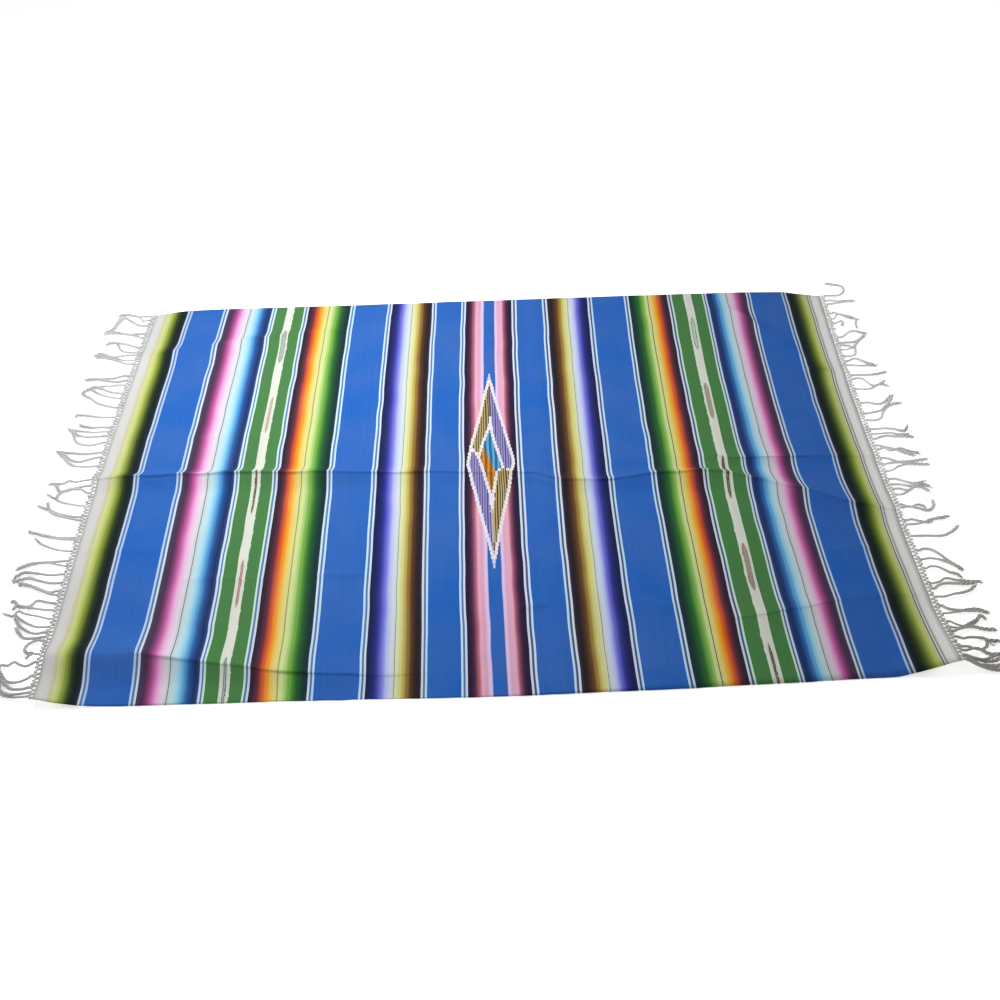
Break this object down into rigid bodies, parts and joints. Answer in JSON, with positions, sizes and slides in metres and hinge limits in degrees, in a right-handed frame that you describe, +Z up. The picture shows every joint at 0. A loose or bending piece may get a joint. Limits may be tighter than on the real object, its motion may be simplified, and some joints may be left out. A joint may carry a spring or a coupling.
{
  "type": "mexican serape",
  "caption": "Long woven serape blanket laid flat, striped across its width, with a centre diamond, knotted ends and fringe.",
  "frame": {"origin": "the middle of the whole outline, on the ground that the serape lies on", "axes": "+X along the length from fringe to fringe, +Y across the width, +Z up from the ground"},
  "size_m": [2.258, 1.413, 0.0306],
  "materials": {
    "striped_cloth": "weft-faced plain weave in dyed yarn, shaded stripes, soft low sheen",
    "knotted_warp": "undyed grey-white warp yarn, knotted, matte",
    "fringe_yarn": "undyed grey-white twisted yarn, matte"
  },
  "bodies": {
    "root": {"cloth": "striped_cloth", "knot_row_left": "knotted_warp", "knot_row_right": "knotted_warp", "fringe_left": "fringe_yarn", "fringe_right": "fringe_yarn"}
  },
  "joints": []
}
